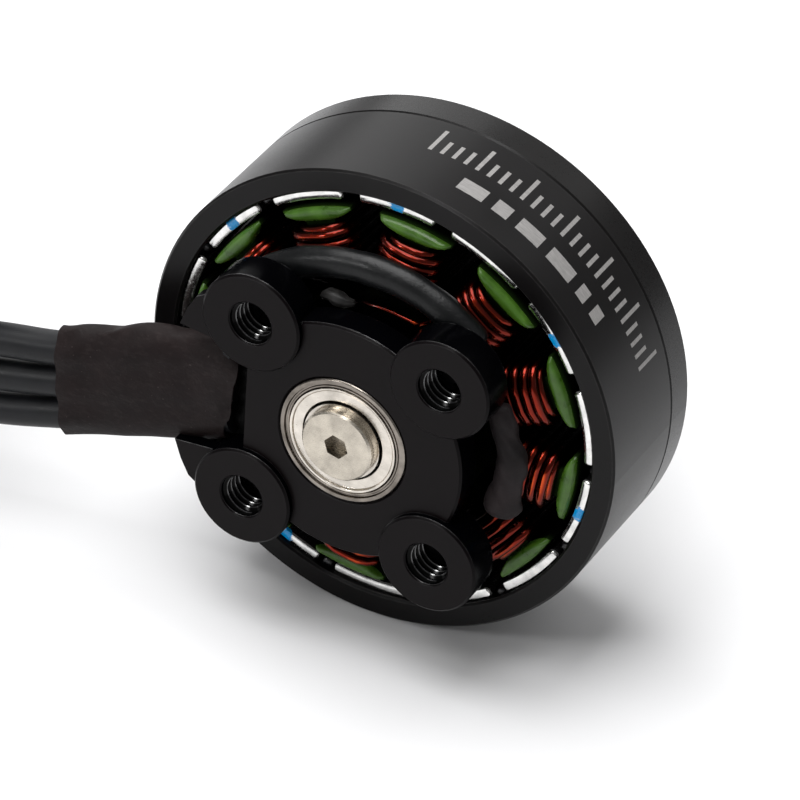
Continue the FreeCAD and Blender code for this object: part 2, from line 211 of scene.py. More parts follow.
EDGE_WIDTH = 0.12 * MM


def anodised(name, dark, light, rough, walls, turned, specular):
    """Satin anodised aluminium: fine grain, faint clouding and turning marks.

    rough and walls are the roughness of level faces and of upright walls. The tree comes back with the values
    that the finishes below go on from.
    """
    m = Nodes(name)
    cloud = m.noise(160.0, 4.0)
    grain = m.noise(9000.0, 2.0)
    mixed = m.math("ADD", m.times(cloud, 0.5), m.times(grain, 0.5))
    m.base = m.tint(cloud, dark, light)
    # edges for wear and for painted highlights; the ring tints them pale grey, the base gives them shine
    m.worn = m.times(m.edges(EDGE_WIDTH), m.spread(m.noise(1400.0), 0.35, 1.0, 0.35, 0.6))
    m.facing = m.coordinate(m.add("ShaderNodeNewGeometry").outputs["True Normal"], 2)
    m.level = m.ramp(m.math("ABSOLUTE", m.facing), 0.45, 0.85)
    m.set(Roughness=m.blend(m.level, m.spread(mixed, *walls), m.spread(mixed, *rough)))
    m.set(Specular_IOR_Level=specular)
    marks = m.noise(5200.0, 3.0, 0.7, m.lathed())
    m.set(Normal=m.bump(marks, 0.000003, turned, m.bump(grain, 0.000004, 0.5)))
    return m


def base_finish():
    """Mounting base: upright walls painted nearly black as shade, and a glint on those edges that face -Y."""
    shine, wall_shine, edge_glint = 0.09, 0.02, 2.2
    m = anodised("black_anodised_base", (7, 4, 5), (11, 7, 8), (0.34, 0.44), (0.14, 0.24), 0.12, shine)
    facing = m.coordinate(m.rounded_normal(EDGE_WIDTH), 1)
    glint = m.times(m.worn, m.times(m.ramp(facing, -0.35, -0.75), edge_glint))
    m.set(Specular_IOR_Level=m.math("ADD", m.blend(m.level, wall_shine, shine), glint))
    # painted shade: upright walls get a near-black colour, darker than the level faces
    m.set(Base_Color=m.mix(m.level, colour(2, 2, 3), m.base))
    return m.material


def bell_finish():
    """Bell: inside the ring, surfaces that don't face up are painted near black and without shine, as shade.
    """
    shine = 0.2
    m = anodised("black_anodised_bell", (7, 6, 6), (12, 10, 10), (0.26, 0.36), (0.24, 0.34), 0.3, shine)
    radius, z = m.polar()
    # painted shade: inside the ring and below the spokes' tops, surfaces that don't face up are painted near
    # black
    inside = m.times(m.math("LESS_THAN", z, 17.5 * MM), m.math("LESS_THAN", radius, 14.9 * MM))
    painted_shade_inside = m.times(inside, m.math("LESS_THAN", m.facing, 0.3))
    m.set(Specular_IOR_Level=m.times(shine, m.math("SUBTRACT", 1.0, painted_shade_inside)))
    m.set(Base_Color=m.mix(painted_shade_inside, m.base, colour(2, 2, 2)))
    return m.material


def ring_finish():
    """Magnet ring: black plating, its edges tinted pale grey, partly as wear and partly as a painted
    highlight.
    """
    m = anodised("black_plated_ring", (7, 6, 6), (12, 10, 11), (0.26, 0.36), (0.28, 0.38), 0.22, 0.15)
    # pale grey on the edges: wear, and a painted highlight along them
    m.set(Base_Color=m.mix(m.times(m.worn, 0.12), m.base, colour(150, 148, 146)))
    return m.material


def thread_coat():
    """Black anodised screw thread: dark in its flanks, its crest painted lighter as a highlight and made
    shinier.
    """
    m = Nodes("black_anodised_thread")
    nicks = m.spread(m.noise(2200.0, 3.0), 0.5, 1.0, 0.4, 0.55)
    # painted highlight: along the crest the colour is lifted to grey, broken up by nicks
    shine = m.times(m.ramp(m.shade(), 0.75, 1.0), nicks)
    m.set(Base_Color=m.mix(shine, colour(2, 2, 2), colour(30, 30, 32)))
    m.set(Roughness=m.spread(nicks, 0.12, 0.2, 0.5, 1.0))
    m.set(Specular_IOR_Level=0.1)       # stays on the socket for a program that drops the link below
    m.set(Specular_IOR_Level=m.math("ADD", 0.06, m.times(shine, 1.6)))
    return m.material


def metal(name, dark, light, rough=(0.16, 0.3), lines=0.5, darker_within=None):
    """Ground or polished steel: turning lines about the axis, fine scratches and a faint film.

    The last argument, when given, is a radius and a height: nearer the axis and above, the metal is darker
    and browner.
    """
    m = Nodes(name)
    scratches = m.noise(1500.0, 5.0, 0.7, m.stretched(1.0, 9.0, 4.0))
    base = m.tint(m.noise(700.0, 4.0), dark, light)
    if darker_within is not None:
        radius, z = m.polar()
        socket_darkening = m.times(m.math("LESS_THAN", radius, darker_within[0]), m.math("GREATER_THAN", z, darker_within[1]))
        # darker and browner within the radius and above the height: inside the screw's hexagon socket
        base = m.mix(m.times(socket_darkening, 0.45), base, colour(60, 54, 46))
    m.set(Base_Color=base, Metallic=1.0, Roughness=m.spread(scratches, *rough))
    turning = m.bump(m.noise(7000.0, 4.0, 0.75, m.lathed()), 0.000004, lines)
    m.set(Normal=m.bump(scratches, 0.000003, 0.4, turning))
    return m.material


def rubber(name, dark, light, rough, wrinkle, scale, specular, scuffs=0.0):
    """Soft sleeve or insulation: fine tooth, shallow wrinkles, and pale scuffs and specks."""
    m = Nodes(name)
    cloud = m.noise(350.0, 4.0)
    tooth = m.noise(6500.0, 3.0)
    fold = m.noise(scale, 4.0, 0.6, distortion=0.6)
    base = m.tint(cloud, dark, light)
    if scuffs:
        streaks = m.spread(m.noise(2600.0, 5.0, 0.75, m.stretched(0.5, 1.0, 1.0)), 0.0, scuffs, 0.5, 0.75)
        specks = m.spread(m.noise(3900.0, 1.0), 0.0, 3 * scuffs, 0.75, 0.78)
        base = m.mix(m.math("MAXIMUM", streaks, specks), base, colour(150, 138, 134))
    mixed = m.math("ADD", m.times(cloud, 0.6), m.times(tooth, 0.4))
    m.set(Base_Color=base, Roughness=m.spread(mixed, *rough), Specular_IOR_Level=specular)
    m.set(Normal=m.bump(tooth, 0.000006, 0.5, m.bump(fold, 0.00003, wrinkle)))
    return m.material


def core_coat(name, dark, light, rough, coat, specular, tips=None):
    """Powder coat: clouded, with a fine orange peel; tips is its colour on the ends of the pole shoes."""
    m = Nodes(name)
    cloud = m.noise(900.0, 4.0)
    base = m.tint(cloud, dark, light)
    if tips is not None:
        radius, z = m.polar()
        # with tips: the tips' colour near the ends of the shoes, the base colour deeper in
        near_end = m.ramp(m.from_core_middle(z), 3.0 * MM, 3.6 * MM)
        on_shoe = m.ramp(radius, 12.6 * MM, 12.9 * MM)
        base = m.mix(m.times(near_end, on_shoe), base, colour(*tips))
    m.set(Base_Color=base, Roughness=m.spread(cloud, *rough), Specular_IOR_Level=specular)
    m.set(Coat_Weight=coat, Coat_Roughness=0.2)
    m.set(Normal=m.bump(m.noise(3600.0, 2.0), 0.00003, 0.6))
    return m.material


def copper_wire(name, shaded):
    """Enamelled copper under red-brown varnish: painted highlights and glints on the crests, painted shade
    between turns.

    With shaded, the copper is painted nearly black as shade deep in the slots and towards the hub.
    """
    m = Nodes(name)
    spots = m.noise(2600.0, 3.0)
    crest = m.shade()
    light = 1.0
    if shaded:
        radius, z = m.polar()
        # painted shade: darker between the core's ends and nearer the hub
        outside = m.ramp(m.from_core_middle(z), 2.7 * MM, 4.2 * MM)
        light = m.times(outside, m.ramp(radius, 9.9 * MM, 10.7 * MM))
    # painted shade and highlight: dark red-brown off each turn's crest, copper along it
    enamel = m.mix(crest, colour(44, 9, 4), m.tint(m.noise(420.0, 3.0), (104, 20, 6), (144, 38, 11)))
    # painted glints: orange spots along the crests
    painted_glints = m.times(m.ramp(crest, 0.7, 0.98), m.ramp(m.noise(560.0, 2.0), 0.47, 0.62))
    bright = m.mix(m.times(painted_glints, 0.75), enamel, colour(226, 98, 38))
    m.set(Base_Color=m.mix(light, colour(10, 3, 2), bright), Metallic=1.0)
    m.set(Roughness=m.spread(spots, 0.16, 0.28), Coat_Weight=m.times(light, 0.25))
    m.set(Coat_Roughness=0.06, Coat_Tint=colour(250, 170, 120))
    m.set(Normal=m.bump(spots, 0.000006, 0.4))
    return m.material


def nickel(name, dab_at=None):
    """Bright nickel plating on a magnet, painted dark as shade above its lower end, inside the ring.

    dab_at is the place of a dab of blue paint on the magnet's end.
    """
    m = Nodes(name)
    pits = m.noise(5200.0, 4.0, 0.7)
    _, z = m.polar()
    ragged_z = m.math("ADD", z, m.times(m.noise(900.0), 0.3 * MM))
    # painted shade: above the end face the nickel is painted dark and not metallic, only the end stays bright
    shine = m.ramp(ragged_z, 6.25 * MM, 6.08 * MM)
    base = m.mix(shine, colour(16, 15, 15), m.tint(m.noise(1200.0, 4.0), (200, 200, 198), (242, 241, 238)))
    if dab_at is not None:
        away = m.add("ShaderNodeVectorMath", {0: m.place, 1: dab_at}, operation="DISTANCE").outputs["Value"]
        streak = m.noise(2600.0, 4.0, 0.65, m.stretched(1.0, 1.6, 1.0))
        dab = m.ramp(m.math("ADD", away, m.times(streak, 0.9 * MM)), 1.0 * MM, 0.9 * MM)
        base = m.mix(dab, base, colour(0, 142, 208))
        shine = m.times(shine, m.math("SUBTRACT", 1.0, dab))
    smoother = m.times(shine, -0.02)
    m.set(Base_Color=base, Metallic=shine, Roughness=m.math("ADD", m.spread(pits, 0.14, 0.32), smoother))
    m.set(Normal=m.bump(pits, 0.000005, 0.4))
    return m.material


def glue(name, tint, rough, through=0.0):
    """Set adhesive or varnish; through is how far light soaks in."""
    m = Nodes(name)
    cloud = m.noise(1500.0, 4.0)
    m.set(Base_Color=m.tint(cloud, tint, [2 * c + 6 for c in tint]), Roughness=m.spread(cloud, *rough))
    m.set(Specular_IOR_Level=min(0.5, tint[0] / 16))
    m.set(Subsurface_Weight=through, Subsurface_Radius=(0.4 * MM, 0.4 * MM, 0.4 * MM))
    m.set(Normal=m.bump(m.noise(2400.0, 3.0), 0.00004, 0.5))
    return m.material


def engraved():
    """Laser-marked anodising: pale grey with a fine raster."""
    m = Nodes("laser_marking")
    raster = m.noise(6000.0, 2.0, 0.6, m.stretched(0.3, 0.3, 3.0))
    m.set(Base_Color=m.tint(raster, (118, 116, 115), (146, 144, 142)))
    m.set(Roughness=m.spread(raster, 0.5, 0.7), Metallic=0.15)
    m.set(Normal=m.bump(raster, 0.000003, 0.4))
    return m.material


def woven():
    """Black hook-and-loop fabric of the tie."""
    m = Nodes("tie_fabric")
    threads = m.noise(4200.0, 3.0, 0.7, m.stretched(1.0, 1.0, 2.2))
    ribs = m.add("ShaderNodeTexWave", {"Vector": m.place, "Scale": 620.0, "Distortion": 1.5}).outputs["Fac"]
    m.set(Base_Color=m.tint(threads, (20, 20, 22), (58, 58, 62)), Roughness=m.spread(threads, 0.75, 0.95))
    m.set(Sheen_Weight=0.25)
    m.set(Normal=m.bump(ribs, 0.00006, 0.6, m.bump(threads, 0.00004, 0.6)))
    return m.material


SCREW_SOCKET = (0.9 * MM, -0.22 * MM)       # radius and height within which the hexagon socket is darker and browner

BASE_FINISH = base_finish()
BELL_FINISH = bell_finish()
RING_FINISH = ring_finish()
BEARING_STEEL = metal("bearing_steel", (180, 174, 165), (226, 219, 209))
RACE_STEEL = metal("bearing_ring_steel", (96, 90, 84), (148, 141, 133))
CAGE_STEEL = metal("cage_steel", (120, 112, 98), (168, 158, 140), (0.3, 0.5))
SCREW_STEEL = metal("screw_steel", (164, 157, 146), (206, 198, 184), (0.2, 0.36), 0.35, SCREW_SOCKET)
SHAFT_STEEL = metal("shaft_steel", (150, 150, 150), (202, 200, 196), (0.14, 0.28))
TINNED = metal("tinned_copper", (176, 176, 178), (226, 226, 226), (0.22, 0.4))
THREAD_FINISH = thread_coat()
GREEN = core_coat("green_powder_coat", (44, 74, 18), (66, 104, 28), (0.24, 0.4), 0.12, 0.32)
# painted shade: the core is painted nearly black as the shade deep between the coils, dark green near the
# shoes' ends
CORE_SHADE_COAT = core_coat("core_painted_near_black_as_shade", (3, 4, 2), (7, 8, 5), (0.5, 0.65), 0.0, 0.0, (22, 36, 12))
COPPER = copper_wire("enamelled_copper", True)
BARE_COPPER = copper_wire("enamelled_copper_end", False)
LEAD_SKIN = rubber("silicone_insulation", (10, 11, 13), (20, 21, 24), (0.34, 0.52), 0.35, 900.0, 0.22)
SHRINK = rubber("heat_shrink", (15, 9, 9), (24, 16, 16), (0.5, 0.64), 1.4, 2100.0, 0.12, 0.03)
INNER_SKIN = rubber("inner_sleeving", (6, 7, 8), (12, 13, 14), (0.26, 0.42), 0.9, 2600.0, 0.24)
JOINT_SKIN = rubber("joint_shrink", (16, 13, 14), (42, 36, 37), (0.55, 0.72), 1.6, 1500.0, 0.15)
VARNISH = glue("black_epoxy", (8, 8, 9), (0.2, 0.4))
# partly epoxy and partly painted shade: black that fills gaps which show only shadow
POTTING_AND_SHADE = glue("slot_epoxy_and_shade", (1, 1, 1), (0.5, 0.7))
ADHESIVE = glue("grey_adhesive", (9, 8, 7), (0.45, 0.8), 0.05)
MARKING = engraved()
FABRIC = woven()


# -------------------------- mesh tools
def piece(name, verts, faces, material, body, slot, replaces=(), smooth=40.0, shade=None):
    """Adds a mesh in millimetres as a piece that rides a body; shade is one number per vertex for painted
    light.
    """
    mesh = bpy.data.meshes.new(name)
    mesh.from_pydata((np.asarray(verts, float) * MM).tolist(), [], [list(map(int, f)) for f in faces])
    mesh.validate()
    if shade is not None:
        values = mesh.attributes.new("shade", "FLOAT", "POINT").data
        values.foreach_set("value", np.asarray(shade, np.float32))
    mesh.materials.append(material)
    mesh.shade_smooth()
    mesh.set_sharp_from_angle(angle=math.radians(smooth))
    obj = placed(name, mesh)
    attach(obj, body)
    if replaces:
        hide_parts(*replaces)
    return obj


def joined(parts):
    """One mesh of several (verts, faces) pairs."""
    verts, faces, total = [], [], 0
    for v, f in parts:
        verts.append(np.asarray(v, float))
        faces += [[i + total for i in face] for face in f]
        total += len(v)
    return np.vstack(verts), faces


def turned_by(verts, degrees):
    """Points turned about the motor's axis."""
    a = math.radians(degrees)
    c, s = math.cos(a), math.sin(a)
    v = np.asarray(verts, float)
    return np.stack([v[:, 0] * c - v[:, 1] * s, v[:, 0] * s + v[:, 1] * c, v[:, 2]], 1)


def polar(radius, degrees, z=0.0):
    a = np.radians(degrees)
    return np.stack(np.broadcast_arrays(radius * np.cos(a), radius * np.sin(a), z), -1)


def grid_faces(rows, columns, wrap_rows=False, wrap_columns=True):
    """Quads between neighbouring points of a grid."""
    faces = []
    for i in range(rows if wrap_rows else rows - 1):
        for j in range(columns if wrap_columns else columns - 1):
            k, l = (i + 1) % rows, (j + 1) % columns
            faces.append([i * columns + j, i * columns + l, k * columns + l, k * columns + j])
    return faces


def end_caps(rows, columns):
    """Faces that close the first and the last ring of a grid."""
    return [list(range(columns))[::-1], [(rows - 1) * columns + i for i in range(columns)]]


def frames(path):
    """Tangent, side and up along a path, carried without twist."""
    ahead = np.gradient(np.asarray(path, float), axis=0)
    ahead /= np.linalg.norm(ahead, axis=1)[:, None]
    start = np.array([0, 0, 1.0]) if abs(ahead[0][2]) < 0.9 else np.array([1.0, 0, 0])
    side = np.cross(start, ahead[0])
    sides = []
    for t in ahead:
        side = side - t * side.dot(t)
        side = side / np.linalg.norm(side)
        sides.append(side)
    sides = np.array(sides)
    return ahead, sides, np.cross(ahead, sides)


def tube(path, radius, sides, flat=1.0):
    """Tube along a path; radius is one number or one for each point, flat is its height over its width."""
    p = np.asarray(path, float)
    ahead, side, up = frames(p)
    r = np.broadcast_to(np.asarray(radius, float), (len(p),))
    first = [p[0] - ahead[0] * r[0] * k for k in (0.45, 0.3)]
    last = [p[-1] + ahead[-1] * r[-1] * k for k in (0.3, 0.45)]
    p = np.vstack([first, p, last])
    r = np.concatenate([[r[0] * 0.5, r[0] * 0.86], r, [r[-1] * 0.86, r[-1] * 0.5]])
    side = np.vstack([side[:1], side[:1], side, side[-1:], side[-1:]])
    up = np.vstack([up[:1], up[:1], up, up[-1:], up[-1:]])
    a = np.linspace(0, 2 * math.pi, sides, endpoint=False)
    ring = side[:, None] * np.cos(a)[None, :, None] + up[:, None] * (flat * np.sin(a))[None, :, None]
    verts = (p[:, None] + ring * r[:, None, None]).reshape(-1, 3)
    return verts, grid_faces(len(p), sides) + end_caps(len(p), sides)


def lathe(outline, segments, closed=False):
    """Surface of revolution of (radius, z) points; closed joins the last point to the first."""
    profile = np.asarray(outline, float)
    a = np.linspace(0, 360, segments, endpoint=False)
    rows = [polar(r, a, z) for r, z in profile]
    return np.vstack(rows), grid_faces(len(profile), segments, closed, True)


def rounded(corners, radius, steps):
    """Closed outline with every corner rounded."""
    c = [np.array(p, float) for p in corners]
    out = []
    for i, here in enumerate(c):
        before, after = c[i - 1] - here, c[(i + 1) % len(c)] - here
        cut = min(radius, 0.45 * np.linalg.norm(before), 0.45 * np.linalg.norm(after))
        a = here + before / np.linalg.norm(before) * cut
        b = here + after / np.linalg.norm(after) * cut
        for t in np.linspace(0, 1, steps + 1):
            out.append((1 - t) ** 2 * a + 2 * t * (1 - t) * here + t * t * b)
    return np.array(out)


def rectangle(left, right, low, high):
    return [(left, low), (right, low), (right, high), (left, high)]


def paint(material, *names):
    for name in names:
        for slot in nodes[name].material_slots:
            slot.material = material


def soften(width, *names):
    """Rounds the sharp edges of CAD nodes that stay."""
    for name in names:
        bevel = nodes[name].modifiers.new("edge", "BEVEL")
        bevel.width = width * MM
        bevel.segments = 2
        bevel.limit_method = "ANGLE"
        bevel.angle_limit = math.radians(40)
        bevel.harden_normals = True


# -------------------------- leads
LEAD_DIAMETER = 2.3
LEAD_LENGTH = 150.0
LANE = 2.46
# the route's corners: x, y, z of the middle lead, and the sideways step to its neighbours in lanes
LEAD_ROUTE = [
    (-8.65, 0.0, 2.35, 1.0),
    (-10.8, 0.62, 2.35, 1.0),
    (-14.5, 1.82, 2.05, 1.0),
    (-19.0, 3.38, 1.7, 1.0),
    (-21.5, 4.15, 1.55, 1.0),
    (-26.0, 5.1, 1.25, 1.12),
    (-33.8, 6.95, 1.25, 1.0),
]
COIL_CENTRE = np.array([-43.5, -3.83, 0.0])
COIL_LANE_R = 12.65
COIL_LANE = 2.35
COIL_START = 77.0
COIL_Z = 1.6
COIL_POINTS = 24
CORNER_CUT = 0.3                    # length that the spline saves on the polygon of its control points
STRAND_R = 0.215
TIE_ANGLE = 215.0
TIE_THICKNESS = 0.42
LANES = {"lead_a": -1, "lead_b": 0, "lead_c": 1}


def lead_points(lane):
    """Control points of one lead: its route, then its turns in the coil."""
    route = [np.array([x, y + lane * LANE * step, z]) for x, y, z, step in LEAD_ROUTE]
    radius = COIL_LANE_R + lane * COIL_LANE
    start = COIL_CENTRE + polar(radius, COIL_START, COIL_Z)
    straight = sum(np.linalg.norm(b - a) for a, b in zip(route, route[1:] + [start])) - CORNER_CUT
    turns = (LEAD_LENGTH - straight) / (2 * math.pi * radius)
    count = round(turns * COIL_POINTS)
    coil = [COIL_CENTRE + polar(radius, COIL_START + 360 * turns * t, COIL_Z + COIL_LANE * turns * t)
            for t in np.linspace(0, 1, count + 1)]
    return route + coil


def route_curve(name, points, resolution):
    """Curve object along control points in millimetres."""
    curve = bpy.data.curves.new(name, "CURVE")
    curve.dimensions = "3D"
    curve.resolution_u = resolution
    spline = curve.splines.new("NURBS")
    spline.points.add(len(points) - 1)
    for target, p in zip(spline.points, points):
        target.co = (*(np.array(p) * MM), 1.0)
    spline.order_u = 3
    spline.use_endpoint_u = True
    return placed(name, curve)


def lead_curve(name, points):
    """Insulation of one lead."""
    obj = route_curve(name, points, 8)
    obj.data.bevel_depth = LEAD_DIAMETER / 2 * MM
    obj.data.bevel_resolution = 8
    obj.data.use_fill_caps = True
    obj.data.materials.append(LEAD_SKIN)
    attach(obj, "stator")
    return obj


def line_of(name, points):
    """Smooth line through a route's control points, in millimetres."""
    obj = route_curve(name, points, 12)
    mesh = bpy.data.meshes.new_from_object(obj.evaluated_get(bpy.context.evaluated_depsgraph_get()))
    line = np.array([v.co[:] for v in mesh.vertices]) / MM
    bpy.data.objects.remove(obj)
    bpy.data.meshes.remove(mesh)
    return line


def lead_tip(name, end, ahead):
    """Tinned strands: six twisted round a middle one, and drawn together by solder."""
    side = np.cross(ahead, [0, 0, 1.0])
    side /= np.linalg.norm(side)
    up = np.cross(side, ahead)
    along = np.linspace(-0.6, 5.0, 26)
    parts = []
    for i in range(7):
        turn = np.radians(i * 60.0 + along * 34.0)
        spread = 0.0 if i == 6 else 0.4
        pinch = np.clip((5.6 - along) / 1.4, 0.45, 1.0)
        off = spread * pinch
        path = end + np.outer(along, ahead)
        path = path + np.outer(off * np.cos(turn), side) + np.outer(off * np.sin(turn), up)
        parts.append(tube(path, STRAND_R, 8))
    return piece(name, *joined(parts), TINNED, "stator", "tinned_copper", ["lead_tips"])


def tie_band():
    """Fabric tie round the three leads' turns."""
    inner = COIL_LANE_R - COIL_LANE - LEAD_DIAMETER / 2
    outer = COIL_LANE_R + COIL_LANE + LEAD_DIAMETER / 2
    low, high = (corner[2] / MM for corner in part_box("lead_tie"))
    t = TIE_THICKNESS
    skin = rounded(rectangle(inner - t, outer + t, low + 0.02, high - 0.1), 0.9, 6)
    lining = rounded(rectangle(inner, outer, low + t, high - t), 0.5, 6)
    width = np.array([-1.75, -1.6, -0.8, 0.0, 0.8, 1.6, 1.75])
    pinch = np.array([0.1, 0.0, 0.0, 0.0, 0.0, 0.0, 0.1])
    rows = []
    for near, far, along, squeeze in ((skin, lining, width, pinch), (lining, skin, width[::-1], pinch[::-1])):
        for w, k in zip(along, squeeze):
            around = near + (far - near) * k
            rows.append(np.stack([around[:, 0], np.full(len(around), w), around[:, 1]], 1))
    verts = turned_by(np.vstack(rows), TIE_ANGLE) + COIL_CENTRE
    faces = grid_faces(len(rows), len(skin), True, True)
    return piece("lead_tie_band", verts, faces, FABRIC, "stator", "tie_fabric", ["lead_tie"])


TIE_BAND = tie_band()
for lead_name, lead_lane in LANES.items():
    control = lead_points(lead_lane)
    insulation = lead_curve(lead_name + "_insulation", control)
    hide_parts(lead_name, "lead_coil")
    heading = (control[-1] - control[-2]) / np.linalg.norm(control[-1] - control[-2])
    tip = lead_tip(lead_name + "_tinned_tip", control[-1], heading)


# -------------------------- heat-shrink sleeve over the leads
# middle line and half width of the sleeve, from its inner to its outer end
SLEEVE_LINE = [
    (-7.9, -0.1, 2.35, 3.15), (-8.4, -0.06, 2.35, 3.4), (-8.9, 0.04, 2.35, 3.62), (-10.0, 0.42, 2.35, 3.72),
    (-11.0, 0.85, 2.32, 3.8), (-12.0, 1.2, 2.24, 3.92), (-13.0, 1.44, 2.16, 4.0), (-14.0, 1.66, 2.09, 4.02),
    (-15.0, 1.96, 2.0, 3.98), (-16.0, 2.33, 1.95, 3.9), (-18.0, 3.0, 1.78, 3.88), (-19.8, 3.58, 1.64, 3.9),
    (-21.05, 3.96, 1.56, 3.94),
]
SLEEVE_WALL = 0.14


def softened(rows, reach):
    """Rows smoothed over a window of neighbours; the ends stay."""
    window = 2 * reach + 1
    padded = np.vstack([rows[:1].repeat(reach, 0), rows, rows[-1:].repeat(reach, 0)])
    columns = [np.convolve(padded[:, k], np.ones(window) / window, "valid") for k in range(rows.shape[1])]
    out = rows.copy()
    out[reach:-reach] = np.stack(columns, 1)[reach:-reach]
    return out


def shrink_sleeve():
    """Sleeve drawn down over the three leads, bunched at its inner end and lobed at its outer end."""
    stations = np.array(SLEEVE_LINE)
    at = np.linspace(stations[0, 0], stations[-1, 0], 110)
    line = softened(np.stack([np.interp(-at, -stations[:, 0], stations[:, k]) for k in range(4)], 1), 4)
    ahead, _, _ = frames(line[:, :3])
    ahead[0] = ahead[1]
    side = np.cross([0, 0, 1.0], ahead)
    side /= np.linalg.norm(side, axis=1)[:, None]
    up = np.cross(ahead, side)
    count = 120
    around = np.linspace(0, 2 * math.pi, count, endpoint=False)
    waves = []
    for _ in range(16):
        along, lobes = random.uniform(3, 26), random.integers(0, 9)
        waves.append((along, lobes, random.uniform(0, 6.3), random.uniform(0.006, 0.022)))
    walls = []
    for inner in (False, True):
        rows = []
        for i, s in enumerate(np.linspace(0, 1, len(line))):
            wide, tall = line[i, 3], 1.5 - 0.12 * s
            dents = 0.05 + 0.16 * max(0.0, (s - 0.72) / 0.28)
            mouth = max(0.0, 1 - s * 6)
            x = wide * np.sign(np.cos(around)) * np.abs(np.cos(around)) ** (0.62 + 0.2 * mouth)
            z = tall * np.sign(np.sin(around)) * np.abs(np.sin(around)) ** 0.72
            z = z * (1 - dents * (0.5 + 0.5 * np.cos(2 * math.pi * x / LANE + math.pi)))
            creases = sum(size * np.sin(k * s + n * around + phase) for k, n, phase, size in waves)
            creases = creases + 0.16 * max(0.0, 1 - s * 9) * np.sin(5 * around + 1.3)
            wall = SLEEVE_WALL if inner else 0.0
            p = line[i, :3] + np.outer(x * (1 - wall / wide) + creases * np.cos(around), side[i])
            p = p + np.outer(z * (1 - wall / tall) + creases * np.sin(around), up[i])
            if i == 0:
                p = p + np.outer(0.12 * np.sin(3 * around + 0.4) + 0.1 * np.sin(7 * around), ahead[i])
            cut = 0.75 * np.clip(0.3 - x / wide, 0, 1) + 1.5 * np.clip(-x / wide / 0.35 - 1.86, 0, 1)
            p = p + np.outer(mouth * cut, ahead[i])
            p = p - np.outer((0.2 + 0.75 * x / wide) * max(0.0, (s - 0.8) / 0.2), ahead[i])
            rows.append(p)
        walls.append(rows)
    rows = walls[0] + walls[1][::-1]
    faces = grid_faces(len(rows), count, True, True)
    piece("lead_shrink_sleeve", np.vstack(rows), faces, SHRINK, "stator", "lead_shrink",
          ["lead_sleeve"], 60)


shrink_sleeve()


def slot_potting_and_shade():
    """Epoxy and painted shade round the lead ends: black between the sleeve and the slot's inner wall, and
    behind one ear.
    """
    y = np.linspace(-3.3, 3.4, 40)
    path = np.stack([-7.75 + 0.1 * np.sin(2.3 * y), y, np.full(40, 2.75)], 1)
    between = tube(path, 0.95 + 0.1 * np.sin(3.1 * y + 1) + random.normal(0, 0.03, 40), 28)
    corners = [(-7.9, 3.3, 2.9), (-9.2, 4.4, 3.0), (-10.6, 5.5, 3.1), (-11.8, 6.3, 3.1)]
    behind_ear = tube(line_of("potting_line", corners), 0.9, 28)
    verts, faces = joined([between, behind_ear])
    verts = verts + random.normal(0, 0.03, verts.shape)
    piece("slot_potting_and_shade", verts, faces, POTTING_AND_SHADE, "stator", "lead_shrink", (), 80)


slot_potting_and_shade()

# -------------------------- windings
TEETH = 12
TOOTH_PHASE = 6.5
TOOTH_HALF = 1.1
WIRE_R = 0.31
WIRE_PITCH = 0.68
FIRST_TURN_R = 8.8
BURIED_R = 12.3                     # nearer the axis than this, the inner layer lies under the outer one and is painted dimmer as shade
TURNS = 6


def turn_shape(layer, count):
    """One turn seen along the tooth: (y, z) round a rounded box whose ends arch outwards."""
    half = TOOTH_HALF + 0.07 + WIRE_R + layer * 0.44
    end = 0.07 + WIRE_R + layer * 0.46
    low, high = CORE_Z[0] - end, CORE_Z[1] + end
    corner = 0.75 + 0.25 * layer
    box = rounded(rectangle(-half, half, low, high), corner, 8)
    step = np.linalg.norm(np.roll(box, -1, 0) - box, axis=1)
    length = np.concatenate([[0], np.cumsum(step)])
    at = np.linspace(0, length[-1], count, endpoint=False)
    loop = np.vstack([box, box[:1]])
    y, z = np.interp(at, length, loop[:, 0]), np.interp(at, length, loop[:, 1])
    arch = 0.16 * np.clip(1 - (y / half) ** 2, 0, 1)
    z = np.where(z < low + 0.02, z - arch, np.where(z > high - 0.02, z + arch, z))
    return np.roll(np.stack([y, z], 1), count // 3, 0)


def off_core(points):
    """How far points stand off the tooth, before the tooth is turned into its place."""
    p = np.asarray(points)
    above = np.abs(p[:, 2] - CORE_MIDDLE) - (CORE_Z[1] - CORE_MIDDLE)
    return np.maximum(np.abs(p[:, 1]) - TOOTH_HALF, above)


